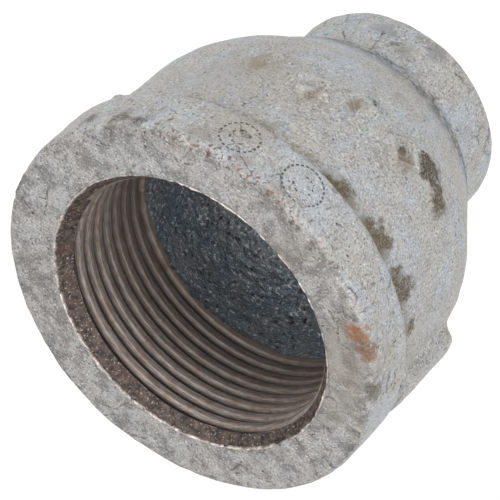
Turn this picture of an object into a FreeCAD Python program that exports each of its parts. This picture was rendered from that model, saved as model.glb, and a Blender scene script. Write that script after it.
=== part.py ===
"""Concentric reducer: a galvanised malleable-iron reducing coupling, pipe size 1-1/4 by 1/2.

The fitting stands on its small end at the origin, with its axis on +Z and its large mouth at the top.
The casting, the zinc skin outside it and the zinc skin in its waist are separate solids.
Millimetres throughout. Every size that can be set by itself is one cell of the spreadsheet.
"""
import FreeCAD
import Part
import math
import os
import Sketcher

doc = FreeCAD.newDocument("reducer")

# ---------------------------------------------------------------- sizes
SIZES = {
    "total_length": 52.4,
    "coat_thickness": 0.12,
    # large end, outside
    "large_band_diameter": 56.8,
    "large_band_width": 9.0,
    "large_band_step": 1.7,
    "large_edge_radius": 1.0,
    "band_shoulder_radius": 1.2,
    "band_crease_radius": 1.2,
    # bell between the bands
    "bell_draft": 3.0,
    "bell_shoulder_depth": 22.5,
    "bell_shoulder_radius": 19.0,
    "bell_foot_radius": 1.2,
    # small end, outside
    "small_band_diameter": 31.9,
    "small_band_width": 9.6,
    "small_edge_radius": 1.2,
    "small_crease_radius": 0.7,
    # grip ribs along the parting line
    "rib_start": 5.0,
    "rib_length": 19.6,
    "rib_width": 5.4,
    "rib_setback": 0.25,
    "rib_end_radius": 1.8,
    "rib_root_depth": 6.0,
    # large end, tapped 1-1/4, 11.5 threads to the inch
    "large_core_diameter": 38.9,
    "large_root_diameter": 41.9,
    "large_pitch": 2.209,
    "large_thread_length": 18.6,
    "large_tapping_depth": 20.4,
    "large_chamfer_diameter": 42.4,
    # small end, tapped 1/2, 14 threads to the inch
    "small_core_diameter": 18.6,
    "small_root_diameter": 21.1,
    "small_pitch": 1.814,
    "small_thread_length": 11.2,
    "small_tapping_depth": 13.2,
    "small_chamfer_diameter": 21.6,
    # taper of both threads, flat left at the bottom of a groove, how far the cuts run clear of the iron
    "thread_half_taper": 1.79,
    "thread_root_flat": 0.1,
    "thread_tool_back": 0.6,
    "bore_overrun": 1.0,
    # waist cavity between the two threads
    "cavity_relief": 0.5,
    "cavity_shoulder_depth": 25.4,
    "cavity_shoulder_radius": 12.0,
}

sizes = doc.addObject("Spreadsheet::Sheet", "sizes")
for row, (alias, value) in enumerate(SIZES.items(), start=1):
    sizes.set(f"A{row}", alias)
    sizes.set(f"B{row}", str(value))
    sizes.setAlias(f"B{row}", alias)
doc.recompute()


# ---------------------------------------------------------------- sketching
START, END, CENTRE = 1, 2, 3
ORIGIN, HEIGHT_AXIS = -1, -2


def half_section(body, name):
    """A sketch on the body's own XZ plane: x is the radius and y is the height."""
    sketch = body.newObject("Sketcher::SketchObject", name)
    plane = next(item for item in body.Origin.OriginFeatures if item.Role == "XZ_Plane")
    sketch.AttachmentSupport = (plane, [""])
    sketch.MapMode = "FlatFace"
    return sketch


def line(sketch, start, end):
    ends = (FreeCAD.Vector(*start, 0), FreeCAD.Vector(*end, 0))
    return sketch.addGeometry(Part.LineSegment(*ends))


def arc(sketch, centre, radius, first, last):
    """An arc that runs anticlockwise from the angle first to the angle last, in degrees."""
    circle = Part.Circle(FreeCAD.Vector(*centre, 0), FreeCAD.Vector(0, 0, 1), radius)
    return sketch.addGeometry(Part.ArcOfCircle(circle, math.radians(first), math.radians(last)))


def bind(sketch, kind, place, drawn, expression):
    """One driving constraint, first at its drawn value, that follows an expression of the sizes."""
    number = sketch.addConstraint(Sketcher.Constraint(kind, *place, drawn))
    sketch.setExpression(f"Constraints[{number}]", expression)


def at_radius(sketch, item, point, expression):
    drawn = sketch.getPoint(item, point).x
    bind(sketch, "DistanceX", (ORIGIN, START, item, point), drawn, expression)


def at_height(sketch, item, point, expression):
    drawn = sketch.getPoint(item, point).y
    bind(sketch, "DistanceY", (ORIGIN, START, item, point), drawn, expression)


def of_radius(sketch, item, expression):
    bind(sketch, "Radius", (item,), sketch.Geometry[item].Radius, expression)


def join(sketch, kind, *places):
    sketch.addConstraint(Sketcher.Constraint(kind, *places))


# ---------------------------------------------------------------- outside of the fitting
NO_INSET = "0"
COAT_INSET = "sizes.coat_thickness"


def add_blank(label, inset):
    """The fitting's outside as one solid body, drawn in by inset, an expression."""
    small = SIZES["small_band_diameter"] / 2
    large = SIZES["large_band_diameter"] / 2
    top = SIZES["total_length"]
    foot = SIZES["small_band_width"]
    lip = top - SIZES["large_band_width"]
    shoulder = top - SIZES["bell_shoulder_depth"]
    bell = large - SIZES["large_band_step"]

    body = doc.addObject("PartDesign::Body", label)
    outline = half_section(body, label + "_outline")
    bottom_face = line(outline, (0, 0), (small - 1.2, 0))
    small_edge = arc(outline, (small - 1.2, 1.2), 1.2, -90, 0)
    small_band = line(outline, (small, 1.2), (small, foot - 0.7))
    small_crease = arc(outline, (small + 0.7, foot - 0.7), 0.7, 90, 180)
    bell_foot = arc(outline, (small + 0.7, foot + 1.2), 1.2, -90, -28)
    bell_cone = line(outline, (small + 1.7, foot + 0.6), (bell - 2.9, shoulder - 8.9))
    bell_shoulder = arc(outline, (bell - 19.6, shoulder), 19, -28, -3)
    bell_side = line(outline, (bell - 0.6, shoulder - 1), (bell, lip + 0.1))
    band_crease = arc(outline, (bell + 1.2, lip - 1), 1.2, 107, 177)
    band_shoulder = arc(outline, (large - 1.2, lip + 1.2), 1.2, -73, 0)
    large_band = line(outline, (large, lip + 1.2), (large, top - 1))
    large_edge = arc(outline, (large - 1, top - 1), 1, 0, 90)
    top_face = line(outline, (large - 1, top), (0, top))
    centre_line = line(outline, (0, top), (0, 0))

    join(outline, "Tangent", bottom_face, END, small_edge, START)
    join(outline, "Tangent", small_edge, END, small_band, START)
    join(outline, "Tangent", small_band, END, small_crease, END)
    join(outline, "Tangent", small_crease, START, bell_foot, START)
    join(outline, "Tangent", bell_foot, END, bell_cone, START)
    join(outline, "Tangent", bell_cone, END, bell_shoulder, START)
    join(outline, "Tangent", bell_shoulder, END, bell_side, START)
    join(outline, "Tangent", bell_side, END, band_crease, END)
    join(outline, "Tangent", band_crease, START, band_shoulder, START)
    join(outline, "Tangent", band_shoulder, END, large_band, START)
    join(outline, "Tangent", large_band, END, large_edge, START)
    join(outline, "Tangent", large_edge, END, top_face, START)
    join(outline, "Coincident", top_face, END, centre_line, START)
    join(outline, "Coincident", centre_line, END, bottom_face, START)
    join(outline, "PointOnObject", centre_line, START, HEIGHT_AXIS)
    join(outline, "PointOnObject", centre_line, END, HEIGHT_AXIS)
    join(outline, "Horizontal", bottom_face)
    join(outline, "Vertical", small_band)
    join(outline, "Vertical", small_crease, START, small_crease, CENTRE)
    join(outline, "Vertical", large_band)
    join(outline, "Horizontal", top_face)

    crease_radius = "sizes.large_band_diameter / 2 - sizes.large_band_step + sizes.band_crease_radius"
    shoulder_height = "sizes.total_length - sizes.large_band_width + sizes.band_shoulder_radius"
    bell_angle = math.radians(90 - SIZES["bell_draft"])
    at_height(outline, bottom_face, START, inset)
    at_height(outline, top_face, START, f"sizes.total_length - {inset}")
    at_radius(outline, small_band, START, f"sizes.small_band_diameter / 2 - {inset}")
    at_radius(outline, large_band, START, f"sizes.large_band_diameter / 2 - {inset}")
    at_height(outline, small_crease, START, f"sizes.small_band_width + {inset}")
    at_height(outline, bell_shoulder, CENTRE, "sizes.total_length - sizes.bell_shoulder_depth")
    at_radius(outline, band_crease, CENTRE, crease_radius)
    at_height(outline, band_shoulder, CENTRE, shoulder_height)
    bind(outline, "Angle", (bell_side,), bell_angle, "90 deg - sizes.bell_draft * 1 deg")
    of_radius(outline, small_edge, f"sizes.small_edge_radius - {inset}")
    of_radius(outline, small_crease, f"sizes.small_crease_radius + {inset}")
    of_radius(outline, bell_foot, f"sizes.bell_foot_radius - {inset}")
    of_radius(outline, bell_shoulder, f"sizes.bell_shoulder_radius - {inset}")
    of_radius(outline, band_crease, f"sizes.band_crease_radius + {inset}")
    of_radius(outline, band_shoulder, f"sizes.band_shoulder_radius - {inset}")
    of_radius(outline, large_edge, f"sizes.large_edge_radius - {inset}")

    turned = body.newObject("PartDesign::Revolution", label + "_turned")
    turned.Profile = outline
    turned.ReferenceAxis = (outline, ["V_Axis"])
    turned.Angle = 360
    doc.recompute()

    rib = half_section(body, label + "_rib_outline")
    rib_top = top - SIZES["rib_start"]
    rib_foot = rib_top - SIZES["rib_length"]
    rib_face = large - SIZES["rib_setback"]
    root = large - SIZES["rib_root_depth"]
    foot_side = line(rib, (root, rib_foot), (rib_face - 1.8, rib_foot))
    foot_round = arc(rib, (rib_face - 1.8, rib_foot + 1.8), 1.8, -90, 0)
    outer_side = line(rib, (rib_face, rib_foot + 1.8), (rib_face, rib_top))
    top_side = line(rib, (rib_face, rib_top), (root, rib_top))
    root_side = line(rib, (root, rib_top), (root, rib_foot))
    join(rib, "Tangent", foot_side, END, foot_round, START)
    join(rib, "Tangent", foot_round, END, outer_side, START)
    join(rib, "Coincident", outer_side, END, top_side, START)
    join(rib, "Coincident", top_side, END, root_side, START)
    join(rib, "Coincident", root_side, END, foot_side, START)
    join(rib, "Horizontal", foot_side)
    join(rib, "Vertical", outer_side)
    join(rib, "Horizontal", top_side)
    join(rib, "Vertical", root_side)
    rib_top_height = "sizes.total_length - sizes.rib_start"
    at_height(rib, top_side, START, f"{rib_top_height} - {inset}")
    at_height(rib, foot_side, START, f"{rib_top_height} - sizes.rib_length + {inset}")
    at_radius(rib, outer_side, START, f"sizes.large_band_diameter / 2 - sizes.rib_setback - {inset}")
    at_radius(rib, root_side, START, "sizes.large_band_diameter / 2 - sizes.rib_root_depth")
    of_radius(rib, foot_round, f"sizes.rib_end_radius - {inset}")

    raised = body.newObject("PartDesign::Pad", label + "_rib")
    raised.Profile = rib
    raised.Midplane = True
    raised.setExpression("Length", f"sizes.rib_width - 2 * {inset}")
    doc.recompute()

    mirrored = body.newObject("PartDesign::Mirrored", label + "_ribs")
    mirrored.Originals = [raised]
    sides = next(item for item in body.Origin.OriginFeatures if item.Role == "YZ_Plane")
    mirrored.MirrorPlane = (sides, [""])
    body.Tip = mirrored
    doc.recompute()
    return body


# ---------------------------------------------------------------- iron casting, tapped at both ends
def add_tapped_casting():
    """The casting without its zinc: bored through, opened out in the waist, tapped from each end."""
    body = add_blank("iron_casting", COAT_INSET)
    small_core = SIZES["small_core_diameter"] / 2
    large_core = SIZES["large_core_diameter"] / 2
    top = SIZES["total_length"]
    relief = SIZES["cavity_relief"]
    foot = SIZES["small_tapping_depth"]
    head = top - SIZES["large_tapping_depth"]
    shoulder = top - SIZES["cavity_shoulder_depth"]
    radius = SIZES["cavity_shoulder_radius"]
    cavity = large_core + relief

    bore = half_section(body, "bore_outline")
    floor = line(bore, (0, -1), (small_core + 1.5, -1))
    small_mouth = line(bore, (small_core + 1.5, -1), (small_core + 1.5, 0.12))
    small_chamfer = line(bore, (small_core + 1.5, 0.12), (small_core, 1.6))
    small_wall = line(bore, (small_core, 1.6), (small_core, foot))
    small_ledge = line(bore, (small_core, foot), (small_core + relief, foot))
    cavity_cone = line(bore, (small_core + relief, foot), (cavity - 2.2, shoulder - 6.5))
    cavity_shoulder = arc(bore, (cavity - radius, shoulder), radius, -34, 0)
    cavity_wall = line(bore, (cavity, shoulder), (cavity, head))
    large_ledge = line(bore, (cavity, head), (large_core, head))
    large_wall = line(bore, (large_core, head), (large_core, top - 1.9))
    large_chamfer = line(bore, (large_core, top - 1.9), (large_core + 1.75, top - 0.12))
    large_mouth = line(bore, (large_core + 1.75, top - 0.12), (large_core + 1.75, top + 1))
    lid = line(bore, (large_core + 1.75, top + 1), (0, top + 1))
    centre_line = line(bore, (0, top + 1), (0, -1))

    join(bore, "Coincident", floor, END, small_mouth, START)
    join(bore, "Coincident", small_mouth, END, small_chamfer, START)
    join(bore, "Coincident", small_chamfer, END, small_wall, START)
    join(bore, "Coincident", small_wall, END, small_ledge, START)
    join(bore, "Coincident", small_ledge, END, cavity_cone, START)
    join(bore, "Tangent", cavity_cone, END, cavity_shoulder, START)
    join(bore, "Tangent", cavity_shoulder, END, cavity_wall, START)
    join(bore, "Coincident", cavity_wall, END, large_ledge, START)
    join(bore, "Coincident", large_ledge, END, large_wall, START)
    join(bore, "Coincident", large_wall, END, large_chamfer, START)
    join(bore, "Coincident", large_chamfer, END, large_mouth, START)
    join(bore, "Coincident", large_mouth, END, lid, START)
    join(bore, "Coincident", lid, END, centre_line, START)
    join(bore, "Coincident", centre_line, END, floor, START)
    join(bore, "PointOnObject", centre_line, START, HEIGHT_AXIS)
    join(bore, "PointOnObject", centre_line, END, HEIGHT_AXIS)
    join(bore, "Horizontal", floor)
    join(bore, "Vertical", small_mouth)
    join(bore, "Vertical", small_wall)
    join(bore, "Horizontal", small_ledge)
    join(bore, "Vertical", cavity_wall)
    join(bore, "Horizontal", large_ledge)
    join(bore, "Vertical", large_wall)
    join(bore, "Vertical", large_mouth)
    join(bore, "Horizontal", lid)

    small_chamfer_end = "(sizes.small_chamfer_diameter - sizes.small_core_diameter) / 2"
    large_chamfer_end = "(sizes.large_chamfer_diameter - sizes.large_core_diameter) / 2"
    cavity_centre = "sizes.large_core_diameter / 2 + sizes.cavity_relief - sizes.cavity_shoulder_radius"
    at_height(bore, floor, START, "-sizes.bore_overrun")
    at_height(bore, lid, START, "sizes.total_length + sizes.bore_overrun")
    at_radius(bore, small_mouth, START, "sizes.small_chamfer_diameter / 2")
    at_height(bore, small_mouth, END, COAT_INSET)
    at_radius(bore, small_wall, START, "sizes.small_core_diameter / 2")
    at_height(bore, small_wall, START, f"{COAT_INSET} + {small_chamfer_end}")
    at_height(bore, small_wall, END, "sizes.small_tapping_depth")
    at_radius(bore, small_ledge, END, "sizes.small_core_diameter / 2 + sizes.cavity_relief")
    of_radius(bore, cavity_shoulder, "sizes.cavity_shoulder_radius")
    at_radius(bore, cavity_shoulder, CENTRE, cavity_centre)
    at_height(bore, cavity_shoulder, CENTRE, "sizes.total_length - sizes.cavity_shoulder_depth")
    at_height(bore, large_ledge, START, "sizes.total_length - sizes.large_tapping_depth")
    at_radius(bore, large_wall, START, "sizes.large_core_diameter / 2")
    at_height(bore, large_wall, END, f"sizes.total_length - {COAT_INSET} - {large_chamfer_end}")
    at_radius(bore, large_mouth, START, "sizes.large_chamfer_diameter / 2")
    at_height(bore, large_mouth, START, f"sizes.total_length - {COAT_INSET}")

    bored = body.newObject("PartDesign::Groove", "bore")
    bored.Profile = bore
    bored.ReferenceAxis = (bore, ["V_Axis"])
    bored.Angle = 360
    doc.recompute()
    return body


def tap(body, end, height, going_down):
    """One thread: a groove at sixty degrees wound along the taper from just outside the fitting."""
    core = SIZES[end + "_core_diameter"] / 2 - SIZES["thread_tool_back"]
    root = SIZES[end + "_root_diameter"] / 2
    spread = (root - core) * math.tan(math.radians(30))
    flat = SIZES["thread_root_flat"] / 2
    groove = half_section(body, end + "_thread_form")
    lower = line(groove, (core, height - spread), (root, height - flat))
    bottom = line(groove, (root, height - flat), (root, height + flat))
    upper = line(groove, (root, height + flat), (core, height + spread))
    back = line(groove, (core, height + spread), (core, height - spread))
    join(groove, "Coincident", lower, END, bottom, START)
    join(groove, "Coincident", bottom, END, upper, START)
    join(groove, "Coincident", upper, END, back, START)
    join(groove, "Coincident", back, END, lower, START)
    join(groove, "Vertical", bottom)
    join(groove, "Vertical", back)

    half_depth = f"(sizes.{end}_root_diameter - sizes.{end}_core_diameter) / 2 + sizes.thread_tool_back"
    place = "sizes.total_length + sizes.large_pitch" if going_down else "-sizes.small_pitch"
    half_flat = "sizes.thread_root_flat / 2"
    at_radius(groove, bottom, START, f"sizes.{end}_root_diameter / 2")
    at_radius(groove, back, START, f"sizes.{end}_core_diameter / 2 - sizes.thread_tool_back")
    at_height(groove, bottom, START, f"{place} - {half_flat}")
    at_height(groove, bottom, END, f"{place} + {half_flat}")
    at_height(groove, back, START, f"{place} + ({half_depth}) * tan(30 deg)")
    at_height(groove, back, END, f"{place} - ({half_depth}) * tan(30 deg)")

    thread = body.newObject("PartDesign::SubtractiveHelix", end + "_thread")
    thread.Profile = groove
    thread.ReferenceAxis = (groove, ["V_Axis"])
    thread.Mode = 0
    thread.Reversed = going_down
    thread.setExpression("Pitch", f"sizes.{end}_pitch")
    thread.setExpression("Height", f"sizes.{end}_thread_length + sizes.{end}_pitch")
    thread.setExpression("Angle", "-sizes.thread_half_taper")
    body.Tip = thread
    doc.recompute()


iron_casting = add_tapped_casting()
tap(iron_casting, "large", SIZES["total_length"] + SIZES["large_pitch"], True)
tap(iron_casting, "small", -SIZES["small_pitch"], False)


# ---------------------------------------------------------------- zinc on the outside of the casting
def add_opening(label, end, height):
    """A cylinder that clears the zinc away from one mouth."""
    opening = doc.addObject("Part::Cylinder", label)
    opening.setExpression("Radius", f"sizes.{end}_chamfer_diameter / 2")
    opening.setExpression("Height", "2 * sizes.bore_overrun")
    opening.setExpression("Placement.Base.z", height)
    return opening


zinc_blank = add_blank("zinc_blank", NO_INSET)
iron_blank = add_blank("iron_blank", COAT_INSET)
large_opening = add_opening("large_opening", "large", "sizes.total_length - sizes.bore_overrun")
small_opening = add_opening("small_opening", "small", "-sizes.bore_overrun")

closed_coat = doc.addObject("Part::Cut", "closed_coat")
closed_coat.Base = zinc_blank
closed_coat.Tool = iron_blank
large_end_open = doc.addObject("Part::Cut", "large_end_open")
large_end_open.Base = closed_coat
large_end_open.Tool = large_opening
outer_zinc_coat = doc.addObject("Part::Cut", "outer_zinc_coat")
outer_zinc_coat.Base = large_end_open
outer_zinc_coat.Tool = small_opening
doc.recompute()


# ---------------------------------------------------------------- zinc on the wall of the waist
def add_inner_coat():
    """A thin ring against the cavity wall; the threads were cut after dipping and carry no zinc."""
    small_side = SIZES["small_core_diameter"] / 2 + SIZES["cavity_relief"]
    cavity = SIZES["large_core_diameter"] / 2 + SIZES["cavity_relief"]
    foot = SIZES["small_tapping_depth"]
    head = SIZES["total_length"] - SIZES["large_tapping_depth"]
    shoulder = SIZES["total_length"] - SIZES["cavity_shoulder_depth"]
    radius = SIZES["cavity_shoulder_radius"]
    coat = SIZES["coat_thickness"]

    body = doc.addObject("PartDesign::Body", "inner_zinc_coat")
    ring = half_section(body, "inner_coat_outline")
    outer_cone = line(ring, (small_side, foot), (cavity - 2.2, shoulder - 6.5))
    outer_round = arc(ring, (cavity - radius, shoulder), radius, -34, 0)
    outer_wall = line(ring, (cavity, shoulder), (cavity, head))
    rim = line(ring, (cavity, head), (cavity - coat, head))
    inner_wall = line(ring, (cavity - coat, head), (cavity - coat, shoulder))
    inner_round = arc(ring, (cavity - radius, shoulder), radius - coat, -34, 0)
    inner_cone = line(ring, (cavity - 2.3, shoulder - 6.4), (small_side - coat, foot))
    base = line(ring, (small_side - coat, foot), (small_side, foot))

    join(ring, "Tangent", outer_cone, END, outer_round, START)
    join(ring, "Tangent", outer_round, END, outer_wall, START)
    join(ring, "Coincident", outer_wall, END, rim, START)
    join(ring, "Coincident", rim, END, inner_wall, START)
    join(ring, "Tangent", inner_wall, END, inner_round, END)
    join(ring, "Tangent", inner_round, START, inner_cone, START)
    join(ring, "Coincident", inner_cone, END, base, START)
    join(ring, "Coincident", base, END, outer_cone, START)
    join(ring, "Coincident", outer_round, CENTRE, inner_round, CENTRE)
    join(ring, "Vertical", outer_wall)
    join(ring, "Horizontal", rim)
    join(ring, "Horizontal", base)
    join(ring, "Parallel", inner_cone, outer_cone)

    cavity_centre = "sizes.large_core_diameter / 2 + sizes.cavity_relief - sizes.cavity_shoulder_radius"
    at_height(ring, outer_cone, START, "sizes.small_tapping_depth")
    at_radius(ring, outer_cone, START, "sizes.small_core_diameter / 2 + sizes.cavity_relief")
    of_radius(ring, outer_round, "sizes.cavity_shoulder_radius")
    of_radius(ring, inner_round, f"sizes.cavity_shoulder_radius - {COAT_INSET}")
    at_radius(ring, outer_round, CENTRE, cavity_centre)
    at_height(ring, outer_round, CENTRE, "sizes.total_length - sizes.cavity_shoulder_depth")
    at_height(ring, rim, START, "sizes.total_length - sizes.large_tapping_depth")

    turned = body.newObject("PartDesign::Revolution", "inner_coat_turned")
    turned.Profile = ring
    turned.ReferenceAxis = (ring, ["V_Axis"])
    turned.Angle = 360
    doc.recompute()
    return body


inner_zinc_coat = add_inner_coat()


# ---------------------------------------------------------------- checks and files
for item in doc.Objects:
    for state in item.State:
        if state in ("Invalid", "Error"):
            raise RuntimeError(f"{item.Label} did not compute")

os.makedirs("parts", exist_ok=True)
for node in (iron_casting, outer_zinc_coat, inner_zinc_coat):
    shape = node.Shape
    if shape.isNull() or not shape.isValid() or len(shape.Solids) != 1:
        raise RuntimeError(f"{node.Label} is not one valid solid")
    shape.exportStep(f"parts/{node.Label}.step")
    print(node.Label, round(shape.Volume, 1))
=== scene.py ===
"""Concentric reducer: a hot-dip galvanised malleable-iron pipe fitting, tapped at both ends.

It stands on its small end at the origin, with its axis on +Z. Metres throughout.
"""

import math

import bmesh
import bpy
from mathutils import Matrix, Vector, noise


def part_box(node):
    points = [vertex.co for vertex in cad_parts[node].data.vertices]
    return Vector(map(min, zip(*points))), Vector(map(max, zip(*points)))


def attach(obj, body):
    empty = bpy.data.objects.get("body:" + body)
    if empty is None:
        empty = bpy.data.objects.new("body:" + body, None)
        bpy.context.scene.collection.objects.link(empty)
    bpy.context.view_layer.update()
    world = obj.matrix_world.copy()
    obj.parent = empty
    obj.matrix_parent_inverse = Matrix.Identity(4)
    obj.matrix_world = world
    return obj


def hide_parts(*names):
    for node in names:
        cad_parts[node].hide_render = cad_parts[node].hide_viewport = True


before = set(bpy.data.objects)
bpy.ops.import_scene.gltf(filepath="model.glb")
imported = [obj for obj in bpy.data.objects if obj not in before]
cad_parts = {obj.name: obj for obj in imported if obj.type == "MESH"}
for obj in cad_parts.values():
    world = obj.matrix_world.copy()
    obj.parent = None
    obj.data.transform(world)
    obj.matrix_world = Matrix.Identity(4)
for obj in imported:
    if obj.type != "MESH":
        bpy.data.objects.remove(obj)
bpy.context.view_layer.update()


# ---------------------------------------------------------------- camera
# A long lens above and to one side of the large mouth, turned so that the fitting lies
# across the frame with its small end up and to the right.
def place_camera(location, target, roll):
    lens = bpy.data.cameras.new("camera")
    lens.sensor_width = 36.0
    lens.lens = 315.6
    lens.clip_start = 0.05
    lens.clip_end = 10.0
    camera = bpy.data.objects.new("camera", lens)
    bpy.context.scene.collection.objects.link(camera)
    aim = (target - location).to_track_quat("-Z", "Y").to_matrix().to_4x4()
    camera.matrix_world = Matrix.Translation(location) @ aim @ Matrix.Rotation(roll, 4, "Z")
    bpy.context.scene.camera = camera


place_camera(Vector((-0.0913, -0.4297, 0.4169)), Vector((0.0003, -0.0001, 0.0371)),
             math.radians(-134.7))


# ---------------------------------------------------------------- outside zinc coat
# The skin of zinc that the dipping bath leaves on the casting: both bands, the bell between
# them, the end faces, the grip ribs on the parting line and the foundry's raised marks.
# It is one closed shell, turned about the axis and then shaped by small moves of its vertices.
def turned_shell(mesh, corners, arcs, longest):
    """Rounds the corners of a closed outline, divides its runs into edges no longer than longest
    and turns it in arcs. A corner is its radius, its height, how far back its round starts and
    the segments of that round. A run between two sharp corners is never seen and stays whole."""
    points = [mesh.verts.new((radius, 0.0, height)) for radius, height, _, _ in corners]
    for start, end in zip(points, points[1:] + points[:1]):
        mesh.edges.new((start, end))
    for point, (_, _, setback, segments) in zip(points, corners):
        if setback:
            bmesh.ops.bevel(mesh, geom=[point], offset=setback, offset_type="OFFSET",
                            segments=segments, profile=0.5, affect="VERTICES",
                            clamp_overlap=False, material=-1)
    sharp = [Vector((radius, 0.0, height)) for radius, height, setback, _ in corners if not setback]
    for edge in list(mesh.edges):
        cuts = int(edge.calc_length() / longest)
        ends = [any((point.co - corner).length < 1e-6 for corner in sharp) for point in edge.verts]
        if cuts and not all(ends):
            bmesh.ops.subdivide_edges(mesh, edges=[edge], cuts=cuts)
    sweep(mesh, arcs)
    bmesh.ops.recalc_face_normals(mesh, faces=mesh.faces[:])


def sweep(mesh, arcs, rise=0.0):
    """Turns an outline once round the axis. Each arc is an angle, a number of equal sectors and
    the steps in one sector; rise is how far the outline climbs in the whole turn."""
    outline = bpy.data.meshes.new("outline")
    mesh.to_mesh(outline)
    mesh.clear()
    start = -arcs[0][0] / 2
    risen = 0.0
    for angle, sectors, steps in arcs:
        part = angle / sectors
        climb = rise * part / math.tau
        sector = bmesh.new()
        sector.from_mesh(outline)
        bmesh.ops.spin(sector, geom=sector.verts[:] + sector.edges[:], axis=(0, 0, 1), cent=(0, 0, 0),
                       dvec=(0, 0, climb / steps), angle=part, steps=steps, use_merge=False,
                       use_duplicate=False)
        turned = bpy.data.meshes.new("turned")
        sector.to_mesh(turned)
        sector.free()
        for _ in range(sectors):
            there = turned.copy()
            there.transform(Matrix.Translation((0, 0, risen)) @ Matrix.Rotation(start, 4, "Z"))
            mesh.from_mesh(there)
            bpy.data.meshes.remove(there)
            start += part
            risen += climb
        bpy.data.meshes.remove(turned)
    bpy.data.meshes.remove(outline)
    bmesh.ops.remove_doubles(mesh, verts=mesh.verts[:], dist=2e-6)


def finished_piece(name, mesh, materials, node=None):
    """A smooth-shaded object at the origin that rides on the fitting."""
    data = bpy.data.meshes.new(name)
    mesh.to_mesh(data)
    mesh.free()
    data.polygons.foreach_set("use_smooth", [True] * len(data.polygons))
    for material in materials:
        data.materials.append(material)
    piece = bpy.data.objects.new(name, data)
    bpy.context.scene.collection.objects.link(piece)
    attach(piece, "root")
    if node:
        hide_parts(node)
    return piece


def smooth_step(value, low, high):
    """Nothing below low, one above high and a soft rise between them."""
    share = min(max((value - low) / (high - low), 0.0), 1.0)
    return share * share * (3.0 - 2.0 * share)


LARGE_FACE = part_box("outer_zinc_coat")[1].z
LARGE_BAND = 0.0284
BAND_SHIFT = 0.00038
LARGE_CHAMFER = 0.0212
BELL_SIDE = 0.0252
RIB_FACE = LARGE_BAND - 0.00025
RIB_HALF_WIDTH = 0.0027
RIB_FOOT_RIGHT = 0.0293
RIB_FOOT_LEFT = 0.0279
RIB_ZONE = (0.0255, 0.0270)
RIB_ARC = math.radians(18)
OPEN_ARC = math.radians(162)
ZINC_ARCS = ((RIB_ARC, 2, 28), (OPEN_ARC, 9, 20), (RIB_ARC, 2, 28), (OPEN_ARC, 9, 20))
ZINC_EDGE = 0.00050
# radius plus height is the same all along the bevel between the band and the large face
WORN_BEVEL = 0.0797

ZINC_OUTLINE = (
    (0.0108, 0.0, 0.0, 0),
    (0.01595, 0.0, 0.0017, 5),
    (0.01590, 0.0099, 0.0007, 4),
    (0.01715, 0.0100, 0.0006, 4),
    (0.02576, 0.02442, 0.0044, 12),
    (0.02675, 0.04321, 0.0010, 5),
    (LARGE_BAND, 0.04371, 0.0011, 5),
    (LARGE_BAND, LARGE_FACE - 0.0002, 0.0009, 5),
    (0.0255, LARGE_FACE, 0.0012, 3),
    (LARGE_CHAMFER, LARGE_FACE, 0.0, 0),
    (LARGE_CHAMFER, LARGE_FACE - 0.0004, 0.0, 0),
    (0.0276, LARGE_FACE - 0.0006, 0.0, 0),
    (0.0277, 0.0442, 0.0, 0),
    (0.0260, 0.0432, 0.0, 0),
    (0.0251, 0.0245, 0.0, 0),
    (0.0168, 0.0101, 0.0, 0),
    (0.0154, 0.0098, 0.0, 0),
    (0.0154, 0.0006, 0.0, 0),
    (0.0108, 0.0004, 0.0, 0),
)


def rib_radius(radius, height, side, foot):
    """The skin's distance from the axis where a grip rib stands on it, just below the band."""
    along = smooth_step(height, foot, foot + 0.0019)
    across = 1.0 - smooth_step(abs(side), RIB_HALF_WIDTH - 0.0011, RIB_HALF_WIDTH + 0.0006)
    face = radius + (RIB_FACE - radius) * along * across
    return max(radius, face)


# Raised foundry marks on the bell, plain shapes only: kind, azimuth in degrees, height, turn.
RAISED_MARKS = (
    ("bar", -62.7, 0.0297, 35),
    ("steps", -80.5, 0.0308, 70),
    ("boss", -95.0, 0.0278, 45),
    ("diamond", -112.5, 0.0290, 0),
)
MARK_REACH = 0.0042
MARK_RISE = 0.00080
MARK_LOWEST = 0.024
MARK_HIGHEST = 0.036


def mark_place(point, azimuth, height):
    """How far a point lies round the bell and up it from a mark's centre."""
    turn = math.atan2(point.y, point.x) - math.radians(azimuth)
    return turn * math.hypot(point.x, point.y), (point.z - height) * 1.08


def stroke(along, across, half_length, half_width):
    """One soft-edged straight stroke, from nothing beside it to one on top."""
    ends = 1.0 - smooth_step(abs(along), half_length - 0.0001, half_length + 0.0003)
    sides = 1.0 - smooth_step(abs(across), half_width - 0.0001, half_width + 0.0003)
    return ends * sides


def mark_height(kind, along, up):
    """How much of its full rise a mark has at a place, from its middle."""
    if kind == "bar":
        return stroke(up, along, 0.0030, 0.0004)
    if kind == "steps":
        return max(stroke(up, along + side, 0.0022, 0.0004) for side in (-0.0013, 0.0013))
    if kind == "boss":
        return 1.0 - smooth_step(max(abs(along), abs(up)), 0.0012, 0.0019)
    edge = abs(along) + abs(up)
    return 1.0 - smooth_step(abs(edge - 0.0026), 0.0003, 0.0009)


def lumpy(point, size, shift=(0, 0, 0)):
    """Smooth noise about zero, whose lumps are about size millimetres wide."""
    return noise.noise(point.co * 1000.0 / size + Vector(shift))


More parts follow.
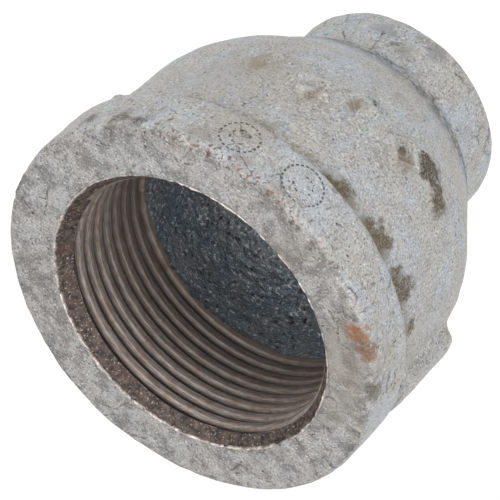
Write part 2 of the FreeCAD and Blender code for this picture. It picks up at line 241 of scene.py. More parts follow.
def shape_zinc(mesh):
    """Moves the skin out into ribs, marks, lumps and the worn ridge round the mouth's outer edge."""
    for _, azimuth, height, _ in RAISED_MARKS:
        near = {point for point in mesh.verts
                if abs(point.co.z - height) < MARK_REACH and point.co.xy.length > BELL_SIDE
                and abs(mark_place(point.co, azimuth, height)[0]) < MARK_REACH}
        near = [edge for edge in mesh.edges if edge.verts[0] in near and edge.verts[1] in near]
        bmesh.ops.subdivide_edges(mesh, edges=near, cuts=2, use_grid_fill=True)
    for point in mesh.verts:
        radius = math.hypot(point.co.x, point.co.y)
        height = point.co.z
        if radius > RIB_ZONE[0] and height > RIB_ZONE[1]:
            turn = math.atan2(point.co.y, point.co.x)
            foot = RIB_FOOT_RIGHT if point.co.x > 0 else RIB_FOOT_LEFT
            new_radius = rib_radius(radius, height, point.co.y, foot)
            point.co.x = new_radius * math.cos(turn)
            point.co.y = new_radius * math.sin(turn)
        # the large band was cast a little off the axis of its bore
        off_axis = smooth_step(height, 0.0400, 0.0450) * smooth_step(radius, 0.0225, 0.0260)
        point.co.x += BAND_SHIFT * off_axis
    mesh.normal_update()
    moves = []
    for point in mesh.verts:
        lumps = lumpy(point, 7.0) * 0.00016
        ripples = lumpy(point, 2.2, (9, 4, 2)) * 0.00007
        grains = lumpy(point, 0.8, (3, 7, 1)) * 0.00003
        edge = 1.0 - smooth_step(abs(point.co.xy.length + point.co.z - WORN_BEVEL), 0.0002, 0.0009)
        front = smooth_step(-point.co.y, 0.006, 0.018)
        ridge = edge * (0.00003 + 0.00013 * front) * (0.6 + 1.6 * lumpy(point, 1.7, (2, 8, 5)))
        raised = ridge
        if MARK_LOWEST < point.co.z < MARK_HIGHEST and point.co.xy.length > BELL_SIDE:
            for kind, azimuth, height, turn in RAISED_MARKS:
                along, up = mark_place(point.co, azimuth, height)
                if max(abs(along), abs(up)) < MARK_REACH:
                    lean = math.radians(turn)
                    turned = (along * math.cos(lean) - up * math.sin(lean),
                              along * math.sin(lean) + up * math.cos(lean))
                    raised = max(raised, mark_height(kind, *turned) * MARK_RISE)
        moves.append(point.normal * (lumps + ripples + grains + raised))
    for point, move in zip(mesh.verts, moves):
        point.co += move


def srgb(code):
    """An sRGB hex colour as linear red, green, blue and a full alpha."""
    parts = [int(code[place:place + 2], 16) / 255.0 for place in (1, 3, 5)]
    linear = [part / 12.92 if part <= 0.04045 else ((part + 0.055) / 1.055) ** 2.4 for part in parts]
    return (*linear, 1.0)


def add(tree, kind, inputs=(), **settings):
    """Adds one shader node. Its settings are the properties of the node. Its inputs, by place or by
    name, are values, sockets, or nodes whose one open output is taken."""
    node = tree.nodes.new("ShaderNode" + kind)
    for name, value in settings.items():
        setattr(node, name, value)
    for socket, value in inputs.items() if isinstance(inputs, dict) else enumerate(inputs):
        if isinstance(value, bpy.types.Node):
            value = next(output for output in value.outputs if output.enabled)
        if isinstance(value, bpy.types.NodeSocket):
            tree.links.new(value, node.inputs[socket])
        else:
            node.inputs[socket].default_value = value
    return node


def new_material(name):
    """An empty material, its node tree and the place on the fitting that is shaded."""
    material = bpy.data.materials.new(name)
    material.use_nodes = True
    tree = material.node_tree
    tree.nodes.clear()
    return material, tree, add(tree, "TexCoord").outputs["Object"]


def grain(tree, place, size, detail=2.0, roughness=0.5, shift=0.0):
    """Noise whose clouds are about size metres wide, moved by shift so that no two are alike."""
    moved = add(tree, "VectorMath", (place, (shift, shift, shift)), operation="ADD")
    clouds = add(tree, "TexNoise", {"Scale": 1.0 / size, "Detail": detail, "Roughness": roughness,
                                    "Vector": moved})
    return clouds.outputs["Fac"]


def from_axis(tree, first, second):
    """How far a place lies from an axis, given its two measures square to that axis."""
    squares = [add(tree, "Math", (side, 2.0), operation="POWER") for side in (first, second)]
    return add(tree, "Math", (add(tree, "Math", squares, operation="ADD"),), operation="SQRT")


def on_fitting(azimuth, radius, height):
    """A place on the fitting from its azimuth in degrees, radius and height."""
    turn = math.radians(azimuth)
    return (radius * math.cos(turn), radius * math.sin(turn), height)


def patch(tree, place, centre, size, ragged):
    """A ragged patch, one in its middle and nothing beyond its size."""
    away = add(tree, "VectorMath", (place, centre), operation="DISTANCE").outputs["Value"]
    reach = add(tree, "Math", (away, size), operation="DIVIDE")
    torn = add(tree, "Math",
               (reach,
                add(tree, "Math", (add(tree, "Math", (ragged, 0.5), operation="SUBTRACT"), 2.6),
                    operation="MULTIPLY")), operation="ADD")
    return add(tree, "MapRange", (torn, 0.25, 1.05, 1.0, 0.0), interpolation_type="SMOOTHSTEP")


# Hot-dip galvanising: zinc that froze on rough iron. It gives a pale satin grey with bluish and
# warm clouds, fine dark pores, soft grains, and dirt and first rust where water stands. Painted
# shade darkens the mouth face and the crease where the bell meets the small band.
def hot_dip_zinc():
    material, tree, place = new_material("hot_dip_zinc")
    axes = add(tree, "SeparateXYZ", (place,))
    height = axes.outputs[2]
    radius = from_axis(tree, axes.outputs[0], axes.outputs[1])

    clouds = grain(tree, place, 0.0075, 3.0, 0.55)
    warm_clouds = grain(tree, place, 0.0060, 3.0, 0.6, 0.31)
    mottle = grain(tree, place, 0.0022, 5.0, 0.65, 0.07)
    fine = grain(tree, place, 0.00032, 3.0, 0.65, 0.13)
    pores = grain(tree, place, 0.0006, 2.0, 0.5, 0.41)
    ragged = grain(tree, place, 0.0016, 4.0, 0.7, 0.53)

    colour = add(tree, "Mix",
                 {0: add(tree, "MapRange", (clouds, 0.40, 0.64), interpolation_type="SMOOTHSTEP"),
                  6: srgb("#A4A29E"), 7: srgb("#A4A9AF")}, data_type="RGBA")
    colour = add(tree, "Mix",
                 {0: add(tree, "MapRange", (warm_clouds, 0.52, 0.70), interpolation_type="SMOOTHSTEP"),
                  6: colour, 7: srgb("#A5A29C")}, data_type="RGBA")
    colour = add(tree, "Mix",
                 {0: add(tree, "MapRange", (mottle, 0.28, 0.52), interpolation_type="SMOOTHSTEP"),
                  6: srgb("#8F8E8A"), 7: colour}, data_type="RGBA")
    colour = add(tree, "Mix",
                 {0: add(tree, "MapRange", (mottle, 0.55, 0.78), interpolation_type="SMOOTHSTEP"),
                  6: colour, 7: srgb("#B5B6B6")}, data_type="RGBA")

    # the mouth face gets a darker mottled tone: the mottling is the zinc's own, its darker level is
    # painted shade
    on_face = add(tree, "MapRange", (height, LARGE_FACE - 0.0007, LARGE_FACE - 0.0002),
                  interpolation_type="SMOOTHSTEP")
    face_tone_and_shade = add(tree, "Mix",
                    {0: add(tree, "MapRange", (mottle, 0.36, 0.60), interpolation_type="SMOOTHSTEP"),
                     6: srgb("#777472"), 7: srgb("#A9A7A4")}, data_type="RGBA")
    colour = add(tree, "Mix",
                 {0: add(tree, "Math", (on_face, 0.8), operation="MULTIPLY"), 6: colour, 7: face_tone_and_shade},
                 data_type="RGBA")

    speckle = add(tree, "MapRange", (fine, 0.33, 0.47, 1.0, 0.0), interpolation_type="SMOOTHSTEP")
    colour = add(tree, "Mix",
                 {0: add(tree, "Math", (speckle, 0.75), operation="MULTIPLY"), 6: colour,
                  7: srgb("#5A5753")}, data_type="RGBA")
    sparkle = add(tree, "MapRange", (fine, 0.56, 0.68), interpolation_type="SMOOTHSTEP")
    colour = add(tree, "Mix",
                 {0: add(tree, "Math", (sparkle, 0.65), operation="MULTIPLY"), 6: colour,
                  7: srgb("#DCDBD8")}, data_type="RGBA")

    bent = grain(tree, place, 0.0020, 3.0, 0.6, 0.77)
    waver = add(tree, "VectorMath",
                {"Scale": 0.0016, 0: add(tree, "CombineXYZ", (bent, mottle, ragged))},
                operation="SCALE")
    wandering = add(tree, "VectorMath", (place, waver), operation="ADD")
    seams = add(tree, "TexVoronoi", {"Scale": 210.0, "Vector": wandering},
                feature="DISTANCE_TO_EDGE")
    cracks = add(tree, "Math",
                 (add(tree, "MapRange", (seams.outputs["Distance"], 0.010, 0.045, 1.0, 0.0),
                      interpolation_type="SMOOTHSTEP"),
                  add(tree, "MapRange", (warm_clouds, 0.44, 0.56), interpolation_type="SMOOTHSTEP")),
                 operation="MULTIPLY")
    cracks = add(tree, "Math",
                 (cracks, add(tree, "MapRange", (ragged, 0.42, 0.58), interpolation_type="SMOOTHSTEP")),
                 operation="MULTIPLY")
    on_bell = add(tree, "Math",
                  (add(tree, "MapRange", (height, 0.0100, 0.0130), interpolation_type="SMOOTHSTEP"),
                   add(tree, "MapRange", (height, 0.0420, 0.0450, 1.0, 0.0),
                       interpolation_type="SMOOTHSTEP")), operation="MULTIPLY")
    cracks = add(tree, "Math",
                 (cracks,
                  add(tree, "Math", (1.0, add(tree, "Math", (on_bell, 0.7), operation="MULTIPLY")),
                      operation="SUBTRACT")), operation="MULTIPLY")
    colour = add(tree, "Mix",
                 {0: add(tree, "Math", (cracks, 0.72), operation="MULTIPLY"), 6: colour,
                  7: srgb("#57534D")}, data_type="RGBA")
    pits = add(tree, "Math",
               (add(tree, "MapRange", (pores, 0.26, 0.33, 1.0, 0.0), interpolation_type="SMOOTHSTEP"),
                add(tree, "MapRange", (ragged, 0.42, 0.55), interpolation_type="SMOOTHSTEP")),
               operation="MULTIPLY")
    colour = add(tree, "Mix", {0: pits, 6: colour, 7: srgb("#3A3735")}, data_type="RGBA")

    band_gap = add(tree, "Math", (add(tree, "Math", (height, 0.0425), operation="SUBTRACT"),),
                   operation="ABSOLUTE")
    band_dirt = add(tree, "Math",
                    (add(tree, "MapRange", (band_gap, 0.0003, 0.0019, 1.0, 0.0),
                         interpolation_type="SMOOTHSTEP"),
                     add(tree, "MapRange", (ragged, 0.40, 0.58), interpolation_type="SMOOTHSTEP")),
                    operation="MULTIPLY")
    colour = add(tree, "Mix",
                 {0: add(tree, "Math", (band_dirt, 0.65), operation="MULTIPLY"), 6: colour,
                  7: srgb("#6B6250")}, data_type="RGBA")
    # painted shade: a ragged dark blue-grey line in the crease where the bell meets the small band
    crease_shade = add(tree, "Math",
                    (add(tree, "MapRange", (height, 0.0112, 0.0156, 1.0, 0.0),
                         interpolation_type="SMOOTHSTEP"),
                     add(tree, "MapRange", (height, 0.0080, 0.0100), interpolation_type="SMOOTHSTEP")),
                    operation="MULTIPLY")
    crease_shade = add(tree, "Math",
                    (crease_shade,
                     add(tree, "MapRange", (ragged, 0.36, 0.52), interpolation_type="SMOOTHSTEP")),
                    operation="MULTIPLY")
    crease_shade = add(tree, "Math",
                    (crease_shade,
                     add(tree, "MapRange", (fine, 0.36, 0.56), interpolation_type="SMOOTHSTEP")),
                    operation="MULTIPLY")
    colour = add(tree, "Mix", {0: crease_shade, 6: colour, 7: srgb("#42474A")}, data_type="RGBA")

    stains = (
        (-103, 0.0267, 0.0426, 0.0017, "#4E4429", 1.5),
        (-108, 0.0267, 0.0421, 0.0027, "#564A2F", 1.5),
        (-120, 0.0267, 0.0421, 0.0020, "#5A4E35", 1.3),
        (-125, 0.0267, 0.0413, 0.0031, "#584B32", 1.5),
        (-137, 0.0267, 0.0417, 0.0016, "#5A4E35", 1.3),
        (-142, 0.0267, 0.0409, 0.0029, "#504330", 1.4),
        (-155, 0.0267, 0.0406, 0.0015, "#504330", 1.3),
        (-122, 0.0256, 0.0262, 0.0030, "#463B26", 1.7),
        (-131, 0.0258, 0.0275, 0.0026, "#50442C", 1.6),
        (-141, 0.0268, 0.0523, 0.0022, "#8E5C34", 1.6),
        (-147, 0.0275, 0.0519, 0.0018, "#774A28", 1.6),
        (-150, 0.0240, 0.0524, 0.0075, "#85796C", 0.55),
        (-170, 0.0235, 0.0524, 0.0060, "#85796C", 0.5),
        (-110, 0.0240, 0.0524, 0.0045, "#8A8077", 0.4),
        (-57, 0.0262, 0.0345, 0.0090, "#99938A", 0.6),
        (-75, 0.0282, 0.0460, 0.0060, "#978F85", 0.45),
        (-112, 0.0262, 0.0287, 0.0009, "#1A1816", 2.0),
        (-97, 0.0264, 0.0268, 0.0010, "#2A2623", 1.6),
        (-93, 0.0264, 0.0292, 0.0015, "#7D6C57", 1.3),
        (-82, 0.0262, 0.0322, 0.0014, "#75695A", 1.2),
        (-62, 0.0264, 0.0305, 0.0022, "#8B7F70", 1.0),
        (-114, 0.0263, 0.0300, 0.0022, "#84755F", 1.1),
        (-33, 0.0283, 0.0500, 0.0020, "#4F4840", 1.2),
        (-52, 0.0282, 0.0508, 0.0018, "#4F4840", 1.2),
        (-70, 0.0159, 0.0040, 0.0022, "#55524E", 0.5),
        (-96, 0.0160, 0.0020, 0.0024, "#504D49", 0.5),
        (-84, 0.0160, 0.0060, 0.0018, "#55524E", 0.5),
        (-95, 0.0283, 0.0512, 0.0022, "#7E6A60", 0.5),
        (-84, 0.0283, 0.0512, 0.0020, "#7E675E", 0.5),
        (-70, 0.0283, 0.0505, 0.0022, "#75655E", 0.45),
        (-160, 0.0280, 0.0518, 0.0026, "#5E564C", 1.1),
        (-45, 0.0283, 0.0502, 0.0024, "#5A534B", 1.1),
    )
    for azimuth, reach, level, size, tint, strength in stains:
        spot = patch(tree, place, on_fitting(azimuth, reach, level), size, ragged)
        spot = add(tree, "Math",
                   (spot, add(tree, "MapRange", (fine, 0.30, 0.62), interpolation_type="SMOOTHSTEP")),
                   operation="MULTIPLY")
        colour = add(tree, "Mix",
                     {0: add(tree, "Math", (spot, strength), operation="MULTIPLY"), 6: colour,
                      7: srgb(tint)}, data_type="RGBA")

    edge_gap = add(tree, "Math",
                   (add(tree, "Math", (add(tree, "Math", (height, radius), operation="ADD"), 0.0801),
                        operation="SUBTRACT"),), operation="ABSOLUTE")
    edge_specks = add(tree, "Math",
                      (add(tree, "MapRange", (edge_gap, 0.0002, 0.0010, 1.0, 0.0),
                           interpolation_type="SMOOTHSTEP"),
                       add(tree, "MapRange", (pores, 0.38, 0.45, 1.0, 0.0),
                           interpolation_type="SMOOTHSTEP")), operation="MULTIPLY")
    front = patch(tree, place, on_fitting(-80, 0.0283, 0.0512), 0.024, mottle)
    edge_specks = add(tree, "Math", (edge_specks, front), operation="MULTIPLY")
    colour = add(tree, "Mix",
                 {0: add(tree, "Math", (edge_specks, 0.8), operation="MULTIPLY"), 6: colour,
                  7: srgb("#6A5047")}, data_type="RGBA")

    ring_pits = 0.0
    for azimuth, level, reach, dots in ((-78.5, 0.0475, 0.0027, 22), (-99.2, 0.0476, 0.0030, 26)):
        turn = math.radians(azimuth)
        turned = add(tree, "Mapping", (place, on_fitting(azimuth, LARGE_BAND, level), (0.0, 0.0, turn)),
                     vector_type="TEXTURE")
        local = add(tree, "SeparateXYZ", (turned,))
        across = from_axis(tree, local.outputs[1], local.outputs[2])
        around = add(tree, "Math", (local.outputs[1], local.outputs[2]), operation="ARCTAN2")
        beads = add(tree, "Math", (add(tree, "Math", (around, float(dots)), operation="MULTIPLY"),),
                    operation="SINE")
        off_ring = add(tree, "Math", (add(tree, "Math", (across, reach), operation="SUBTRACT"),),
                       operation="ABSOLUTE")
        ring = add(tree, "Math",
                   (add(tree, "MapRange", (off_ring, 0.00007, 0.00018, 1.0, 0.0),
                        interpolation_type="SMOOTHSTEP"),
                    add(tree, "MapRange", (beads, -0.5, 0.0), interpolation_type="SMOOTHSTEP")),
                   operation="MULTIPLY")
        off_inner = add(tree, "Math",
                        (add(tree, "Math", (across, reach * 0.48), operation="SUBTRACT"),),
                        operation="ABSOLUTE")
        few = add(tree, "Math", (add(tree, "Math", (around, dots / 3.0), operation="MULTIPLY"),),
                  operation="SINE")
        inner = add(tree, "Math",
                    (add(tree, "MapRange", (off_inner, 0.00008, 0.00020, 1.0, 0.0),
                         interpolation_type="SMOOTHSTEP"),
                     add(tree, "MapRange", (few, -0.2, 0.2), interpolation_type="SMOOTHSTEP")),
                    operation="MULTIPLY")
        inner = add(tree, "Math",
                    (inner,
                     add(tree, "MapRange", (ragged, 0.46, 0.52), interpolation_type="SMOOTHSTEP")),
                    operation="MULTIPLY")
        near = add(tree, "MapRange",
                   (add(tree, "Math", (local.outputs[0],), operation="ABSOLUTE"), 0.003, 0.004, 1.0,
                    0.0), interpolation_type="SMOOTHSTEP")
        marks = add(tree, "Math", (add(tree, "Math", (ring, inner), operation="MAXIMUM"), near),
                    operation="MULTIPLY")
        ring_pits = add(tree, "Math", (ring_pits, marks), operation="MAXIMUM")
    ring_pits = add(tree, "Math",
                    (ring_pits,
                     add(tree, "MapRange", (mottle, 0.34, 0.46), interpolation_type="SMOOTHSTEP")),
                    operation="MULTIPLY")
    colour = add(tree, "Mix",
                 {0: add(tree, "Math", (ring_pits, 0.85), operation="MULTIPLY"), 6: colour,
                  7: srgb("#332F2D")}, data_type="RGBA")

    relief = add(tree, "Math",
                 (add(tree, "Math", (mottle, 0.50), operation="MULTIPLY"),
                  add(tree, "Math", (fine, 0.85), operation="MULTIPLY")), operation="ADD")
    relief = add(tree, "Math", (relief, add(tree, "Math", (cracks, 0.35), operation="MULTIPLY")),
                 operation="SUBTRACT")
    relief = add(tree, "Math",
                 (relief,
                  add(tree, "Math", (add(tree, "Math", (pits, ring_pits), operation="MAXIMUM"), 0.5),
                      operation="MULTIPLY")), operation="SUBTRACT")
    bump = add(tree, "Bump", {"Strength": 0.9, "Distance": 0.00036, "Height": relief})
    gloss = add(tree, "MapRange", (mottle, 0.3, 0.7, 0.42, 0.68))
    shader = add(tree, "BsdfPrincipled",
                 {"Metallic": 0.3, "Base Color": colour, "Roughness": gloss, "Normal": bump})
    add(tree, "OutputMaterial", {"Surface": shader.outputs["BSDF"]})
    return material


def outside_skin():
    skin = bmesh.new()
    turned_shell(skin, ZINC_OUTLINE, ZINC_ARCS, ZINC_EDGE)
    shape_zinc(skin)
    return skin


finished_piece("outside_zinc", outside_skin(), [hot_dip_zinc()], "outer_zinc_coat")


# ---------------------------------------------------------------- tapped casting
# Malleable iron, cast as one piece, then reamed and tapped from both ends after dipping, so
# that its chamfers and threads are bare iron. Its outside is hidden under the zinc.
MOUTH = LARGE_FACE - 0.0001
CONE_SLOPE = 0.83
THREAD_END = 0.0331
LARGE_CORE = 0.01945
LARGE_ROOT = 0.0207
LARGE_PITCH = 0.002209
LARGE_TAPER = 21.0
SMALL_MOUTH = 0.0001
SMALL_CHAMFER = 0.0108
SMALL_THREAD_END = 0.0125
SMALL_CORE = 0.0093
SMALL_ROOT = 0.01055
SMALL_PITCH = 0.001814
SMALL_TAPER = 30.0
FLANK_LEAN = math.radians(26)
ROOT_FLAT = 0.00016

# The casting's hidden sides, radius and height: its outside under the zinc, and its waist.
HIDDEN_OUTSIDE = (
    (0.0218, 0.0521), (0.0272, 0.0512), (0.0273, 0.0445), (0.0256, 0.0434), (0.0247, 0.0247),
    (0.0164, 0.0104), (0.0150, 0.0096), (0.0150, 0.0010), (0.0112, 0.0002))
HIDDEN_WAIST = ((0.0102, 0.0120), (0.0104, 0.0134), (0.0208, 0.0236), (0.0209, 0.0325))


def thread_form(core, root, pitch, turns, top):
    """Corner points of one thread after another, from the mouth down."""
    half = (root - core) * math.tan(FLANK_LEAN)
    points = [(core, top + half + pitch / 3)]
    for turn in range(turns):
        groove = top - turn * pitch
        points.append((core, groove + half))
        points.append((root, groove + ROOT_FLAT / 2))
        points.append((root, groove - ROOT_FLAT / 2))
        points.append((core, groove - half))
    points.append((core, top - turns * pitch))
    return points


def wound_thread(mesh, points, pitch, steps, cuts):
    """Turns a row of thread forms once about the axis while it climbs by one pitch, so that the
    thread is right-handed."""
    row = [mesh.verts.new((radius, 0.0, height)) for radius, height in points]
    for start, end in zip(row, row[1:]):
        mesh.edges.new((start, end))
    for point in row[1:-1]:
        bmesh.ops.bevel(mesh, geom=[point], offset=0.00014, offset_type="OFFSET", segments=2,
                        profile=0.5, affect="VERTICES", clamp_overlap=False, material=-1)
    flanks = [edge for edge in mesh.edges if edge.calc_length() > pitch * 0.35]
    bmesh.ops.subdivide_edges(mesh, edges=flanks, cuts=cuts)
    sweep(mesh, ((math.tau, steps // 20, 20),), pitch)


def open_large_mouth(mesh):
    """Makes the large grooves shallower with depth, clears them at the mouth, where the reamer
    cut them away, and opens the mouth with a cone."""
    for point in mesh.verts:
        radius = math.hypot(point.co.x, point.co.y)
        depth = MOUTH - point.co.z
        groove = (1.0 - LARGE_TAPER * depth) * smooth_step(depth, 0.0012, 0.0022)
        radius = LARGE_CORE + (radius - LARGE_CORE) * groove
        radius = max(radius, LARGE_CHAMFER - CONE_SLOPE * max(depth, 0.0))
        turn = math.atan2(point.co.y, point.co.x)
        point.co.x = radius * math.cos(turn)
        point.co.y = radius * math.sin(turn)


def open_small_mouth(mesh):
    """The same at the small end, whose mouth is at the origin."""
    for point in mesh.verts:
        radius = point.co.xy.length
        depth = max(point.co.z, 0.0)
        groove = 1.0 - SMALL_TAPER * depth
        wide = max(SMALL_CORE + (radius - SMALL_CORE) * groove, SMALL_CHAMFER - depth)
        point.co.xy = point.co.xy * (wide / radius)


def trimmed(mesh, height, up):
    """Cuts away what lies above a height, or below it, and leaves a clean rim there."""
    bmesh.ops.bisect_plane(mesh, geom=mesh.verts[:] + mesh.edges[:] + mesh.faces[:], dist=1e-7,
                           plane_co=(0, 0, height), plane_no=(0, 0, up), clear_outer=True)


def rim_at(mesh, height):
    """The open rim that lies at a height."""
    return [edge for edge in mesh.edges if edge.is_boundary
            and all(abs(point.co.z - height) < 2e-6 for point in edge.verts)]


def tapped_casting():
    """The two threads, joined to the hidden sides of the casting by a narrow rim at each end."""
    casting = bmesh.new()
    form = thread_form(LARGE_CORE, LARGE_ROOT, LARGE_PITCH, 12, MOUTH + 0.0027)
    wound_thread(casting, form, LARGE_PITCH, 280, 3)
    open_large_mouth(casting)
    trimmed(casting, MOUTH, 1)
    trimmed(casting, THREAD_END, -1)

    small_end = bmesh.new()
    form = thread_form(SMALL_CORE, SMALL_ROOT, SMALL_PITCH, 10, 0.0017)
    wound_thread(small_end, form, SMALL_PITCH, 160, 1)
    bmesh.ops.rotate(small_end, verts=small_end.verts[:], cent=(0, 0, 0),
                     matrix=Matrix.Rotation(math.pi, 3, "X"))
    open_small_mouth(small_end)
    trimmed(small_end, SMALL_MOUTH, -1)
    trimmed(small_end, SMALL_THREAD_END, 1)
    spare = bpy.data.meshes.new("spare")
    small_end.to_mesh(spare)
    small_end.free()
    casting.from_mesh(spare)
    bpy.data.meshes.remove(spare)

    for corners in (HIDDEN_OUTSIDE, HIDDEN_WAIST):
        row = [casting.verts.new((radius, 0.0, height)) for radius, height in corners]
        line = [casting.edges.new(pair) for pair in zip(row, row[1:])]
        bmesh.ops.spin(casting, geom=row + line, axis=(0, 0, 1), cent=(0, 0, 0), dvec=(0, 0, 0),
                       angle=math.tau, steps=120, use_merge=True, use_duplicate=False)
    for thread_rim, hidden_rim in ((MOUTH, HIDDEN_OUTSIDE[0]), (SMALL_MOUTH, HIDDEN_OUTSIDE[-1]),
                                   (SMALL_THREAD_END, HIDDEN_WAIST[0]), (THREAD_END, HIDDEN_WAIST[-1])):
        rims = rim_at(casting, thread_rim) + rim_at(casting, hidden_rim[1])
        for edge in rims:
            edge.smooth = False
        bmesh.ops.bridge_loops(casting, edges=rims)
    bmesh.ops.recalc_face_normals(casting, faces=casting.faces[:])

    # the last turn of the large thread broke up where the tap stopped
    for point in casting.verts:
        low = 1.0 - smooth_step(point.co.z, THREAD_END, THREAD_END + 0.0012)
        if low > 0.0 and point.co.z > THREAD_END - 0.0001 and point.co.xy.length < 0.0206:
            point.co.z += low * 0.0006 * (lumpy(point, 1.5) + 0.9 * lumpy(point, 0.5))
    for face in casting.faces:
        off_cone = [point.co.xy.length - LARGE_CHAMFER + CONE_SLOPE * (MOUTH - point.co.z)
                    for point in face.verts]
        on_cone = all(abs(gap) < 3e-5 for gap in off_cone)
        face.material_index = 1 if on_cone and face.calc_center_median().z > 0.045 else 0
    return casting


# Tapped malleable iron: bare metal with the fine lines of the tap, warm grey-brown from cutting oil
# and age. The thread roots and the turns deeper in the bore are darkened as painted shade.
def tapped_iron():
    material, tree, place = new_material("tapped_iron")
    axes = add(tree, "SeparateXYZ", (place,))
    radius = from_axis(tree, axes.outputs[0], axes.outputs[1])
    around = add(tree, "Math", (axes.outputs[1], axes.outputs[0]), operation="ARCTAN2")
    rising = add(tree, "Math",
                 (axes.outputs[2],
                  add(tree, "Math", (around, LARGE_PITCH / math.tau), operation="MULTIPLY")),
                 operation="ADD")
    lines = add(tree, "CombineXYZ",
                (add(tree, "Math", (around, 0.0016), operation="MULTIPLY"), rising, radius))
    cutting = grain(tree, lines, 0.00016, 2.0, 0.6)
    wear = grain(tree, place, 0.0016, 4.0, 0.65, 0.2)
    colour = add(tree, "Mix",
                 {0: add(tree, "MapRange", (cutting, 0.3, 0.7), interpolation_type="SMOOTHSTEP"),
                  6: srgb("#675D58"), 7: srgb("#9C918A")}, data_type="RGBA")
    colour = add(tree, "Mix",
                 {0: add(tree, "MapRange", (wear, 0.50, 0.72), interpolation_type="SMOOTHSTEP"),
                  6: colour, 7: srgb("#7A675A")}, data_type="RGBA")
    colour = add(tree, "Mix",
                 {0: add(tree, "MapRange", (wear, 0.28, 0.42, 1.0, 0.0),
                         interpolation_type="SMOOTHSTEP"), 6: colour, 7: srgb("#958B84")},
                 data_type="RGBA")
    # painted shade: the thread grooves are darkened towards their roots
    root_shade = add(tree, "MapRange", (radius, LARGE_CORE + 0.0003, LARGE_CORE + 0.0009),
                  interpolation_type="SMOOTHSTEP")
    colour = add(tree, "Mix",
                 {0: add(tree, "Math", (root_shade, 0.92), operation="MULTIPLY"), 6: colour,
                  7: srgb("#1D1816")}, data_type="RGBA")
    # painted shade: the threads grow darker deeper in the bore, away from the mouth
    deep_shade = add(tree, "MapRange", (axes.outputs[2], 0.0370, 0.0500, 1.0, 0.0),
               interpolation_type="SMOOTHSTEP")
    colour = add(tree, "Mix",
                 {0: add(tree, "Math", (deep_shade, 0.58), operation="MULTIPLY"), 6: colour,
                  7: srgb("#3A322E")}, data_type="RGBA")
    torn_end = add(tree, "MapRange",
                   (axes.outputs[2], THREAD_END + 0.0005, THREAD_END + 0.0013, 1.0, 0.0),
                   interpolation_type="SMOOTHSTEP")
    colour = add(tree, "Mix",
                 {0: add(tree, "Math", (torn_end, 0.6), operation="MULTIPLY"), 6: colour,
                  7: srgb("#85776B")}, data_type="RGBA")
    bump = add(tree, "Bump", {"Strength": 0.5, "Distance": 0.00006, "Height": cutting})
    shader = add(tree, "BsdfPrincipled",
                 {"Metallic": 0.35, "Roughness": 0.5, "Base Color": colour, "Normal": bump})
    add(tree, "OutputMaterial", {"Surface": shader.outputs["BSDF"]})
    return material


# The reamed chamfer: torn, granular iron with rust starting in it, dark brown with pale grains.
def reamed_iron():
    material, tree, place = new_material("reamed_iron")
    coarse = grain(tree, place, 0.0009, 4.0, 0.7)
    small = grain(tree, place, 0.00035, 3.0, 0.7, 0.2)
    patches = grain(tree, place, 0.0045, 3.0, 0.6, 0.4)
    colour = add(tree, "Mix",
                 {0: add(tree, "MapRange", (coarse, 0.35, 0.65), interpolation_type="SMOOTHSTEP"),
                  6: srgb("#251F1C"), 7: srgb("#5A4D46")}, data_type="RGBA")
    colour = add(tree, "Mix",
                 {0: add(tree, "MapRange", (patches, 0.52, 0.70), interpolation_type="SMOOTHSTEP"),
                  6: colour, 7: srgb("#48322A")}, data_type="RGBA")
    colour = add(tree, "Mix",
                 {0: add(tree, "MapRange", (small, 0.57, 0.68), interpolation_type="SMOOTHSTEP"),
                  6: colour, 7: srgb("#A0948C")}, data_type="RGBA")
    bump = add(tree, "Bump", {"Strength": 1.0, "Distance": 0.00025, "Height": coarse})
    shader = add(tree, "BsdfPrincipled",
                 {"Metallic": 0.3, "Roughness": 0.6, "Base Color": colour, "Normal": bump})
    add(tree, "OutputMaterial", {"Surface": shader.outputs["BSDF"]})
    return material


finished_piece("tapped_casting", tapped_casting(), [tapped_iron(), reamed_iron()],
               "iron_casting")


# ---------------------------------------------------------------- burr round the mouth
# The thin ragged lip of zinc and iron that the reamer throws up where it breaks through the
# skin. It is bright, because it is freshly cut.
BURR_OUTLINE = (
    (0.02102, MOUTH - 0.00020, 0, 0),
    (0.02119, MOUTH + 0.00016, 0.00006, 2),
    (0.02132, MOUTH + 0.00014, 0.00005, 2),
    (0.02138, MOUTH - 0.0001, 0, 0),
    (0.02125, MOUTH - 0.0003, 0, 0),
)


def mouth_burr():
    """A low lip, ragged along its top and torn inward over the mouth."""
    lip = bmesh.new()
    turned_shell(lip, BURR_OUTLINE, ((math.tau, 30, 24),), 0.00042)
    for point in lip.verts:
        ragged = lumpy(point, 1.1) + 0.6 * lumpy(point, 0.45)
        point.co.z += 0.00010 * ragged
        radius = point.co.xy.length
        if radius < LARGE_CHAMFER:
            point.co.xy = point.co.xy * ((radius - 0.00018 * max(ragged, -0.6)) / radius)
    return lip


def fresh_zinc():
    material, tree, place = new_material("fresh_cut_zinc")
    torn = grain(tree, place, 0.0008, 4.0, 0.7)
    colour = add(tree, "Mix",
                 {0: add(tree, "MapRange", (torn, 0.36, 0.60), interpolation_type="SMOOTHSTEP"),
                  6: srgb("#93867F"), 7: srgb("#D6CBC5")}, data_type="RGBA")
    bump = add(tree, "Bump", {"Strength": 0.8, "Distance": 0.0001, "Height": torn})
    shader = add(tree, "BsdfPrincipled",
                 {"Metallic": 0.4, "Roughness": 0.4, "Base Color": colour, "Normal": bump})
    add(tree, "OutputMaterial", {"Surface": shader.outputs["BSDF"]})
    return material


finished_piece("mouth_burr", mouth_burr(), [fresh_zinc()], None)


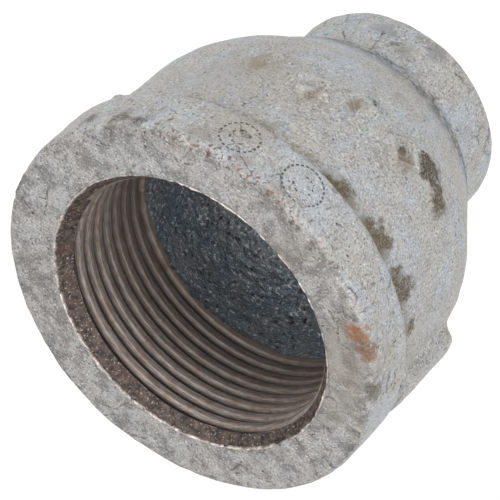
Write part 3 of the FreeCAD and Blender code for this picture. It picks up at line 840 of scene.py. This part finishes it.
# ---------------------------------------------------------------- zinc in the waist
# The same dipping left zinc on the cast wall between the two threads, over sand-rough iron. It
# was never cut, so it stays bumpy and pitted. Its darker colour is painted shade of the deep bore,
# with painted shade in its hollows and painted glints on its grains.
WAIST_OUTLINE = (
    (0.0200, 0.0333, 0, 0),
    (0.01995, 0.0237, 0.0045, 12),
    (0.0098, 0.0134, 0, 0),
    (0.0101, 0.0129, 0, 0),
    (0.0205, 0.0233, 0, 0),
    (0.0206, 0.0330, 0, 0),
)


def cavity_skin():
    """The skin on the waist's wall, moved by the lumps of the sand it was cast on."""
    skin = bmesh.new()
    turned_shell(skin, WAIST_OUTLINE, ((math.tau, 19, 20),), 0.00024)
    skin.normal_update()
    moves = [point.normal * (0.00022 * lumpy(point, 1.6) + 0.00014 * lumpy(point, 0.7, (5, 5, 5)))
             for point in skin.verts]
    for point, move in zip(skin.verts, moves):
        point.co += move
    return skin


def cavity_zinc():
    material, tree, place = new_material("rough_dipped_zinc")
    lumps = grain(tree, place, 0.0009, 3.0, 0.6)
    small = grain(tree, place, 0.0005, 3.0, 0.65, 0.3)
    clouds = grain(tree, place, 0.0060, 2.0, 0.5, 0.6)
    # painted shade: the ground is darker and bluer than the zinc outside, for the shade deep in the
    # bore
    colour = add(tree, "Mix",
                 {0: add(tree, "MapRange", (clouds, 0.4, 0.65), interpolation_type="SMOOTHSTEP"),
                  6: srgb("#626C76"), 7: srgb("#717679")}, data_type="RGBA")
    # painted shade: the hollows of the bumps are painted near black
    colour = add(tree, "Mix",
                 {0: add(tree, "MapRange", (lumps, 0.30, 0.42, 1.0, 0.0),
                         interpolation_type="SMOOTHSTEP"), 6: colour, 7: srgb("#20252A")},
                 data_type="RGBA")
    # painted glints: small bright specks on the grains
    colour = add(tree, "Mix",
                 {0: add(tree, "MapRange", (small, 0.54, 0.66), interpolation_type="SMOOTHSTEP"),
                  6: colour, 7: srgb("#B4B8BB")}, data_type="RGBA")
    relief = add(tree, "Math",
                 (add(tree, "Math", (lumps, 0.6), operation="MULTIPLY"),
                  add(tree, "Math", (small, 0.4), operation="MULTIPLY")), operation="ADD")
    bump = add(tree, "Bump", {"Strength": 1.0, "Distance": 0.0006, "Height": relief})
    shader = add(tree, "BsdfPrincipled",
                 {"Metallic": 0.3, "Roughness": 0.34, "Base Color": colour, "Normal": bump})
    add(tree, "OutputMaterial", {"Surface": shader.outputs["BSDF"]})
    return material


finished_piece("waist_zinc", cavity_skin(), [cavity_zinc()], "inner_zinc_coat")


# ---------------------------------------------------------------- floor and light
# A floor that glows white like a light table, three broad lamps, to the right, to the left and
# over the mouth, and a pale sky.
floor_mesh = bmesh.new()
bmesh.ops.create_grid(floor_mesh, x_segments=1, y_segments=1, size=1.5)
floor_data = bpy.data.meshes.new("floor")
floor_mesh.to_mesh(floor_data)
floor_mesh.free()
floor = bpy.data.objects.new("floor", floor_data)
bpy.context.scene.collection.objects.link(floor)
table = bpy.data.materials.new("light_table")
table.use_nodes = True
table.node_tree.nodes.clear()
glow = add(table.node_tree, "Emission", {"Color": (1, 1, 1, 1), "Strength": 1.05})
add(table.node_tree, "OutputMaterial", {"Surface": glow.outputs["Emission"]})
floor_data.materials.append(table)

sky = bpy.data.worlds.new("sky")
sky.use_nodes = True
sky.node_tree.nodes["Background"].inputs["Color"].default_value = (1.0, 0.99, 0.975, 1.0)
sky.node_tree.nodes["Background"].inputs["Strength"].default_value = 0.7
bpy.context.scene.world = sky


def soft_lamp(name, location, power):
    """A lamp half a metre square that shines at the middle of the fitting."""
    data = bpy.data.lights.new(name, "AREA")
    data.size = 0.5
    data.energy = power
    lamp = bpy.data.objects.new(name, data)
    bpy.context.scene.collection.objects.link(lamp)
    aim = (Vector((0, 0, 0.03)) - location).to_track_quat("-Z", "Y").to_matrix().to_4x4()
    lamp.matrix_world = Matrix.Translation(location) @ aim


soft_lamp("right_lamp", Vector((-0.65, -0.35, 0.45)), 4.4)
soft_lamp("left_lamp", Vector((0.45, -0.60, 0.40)), 3.0)
soft_lamp("top_lamp", Vector((0.15, -0.30, 0.78)), 2.2)
bpy.context.scene.view_settings.view_transform = "Standard"
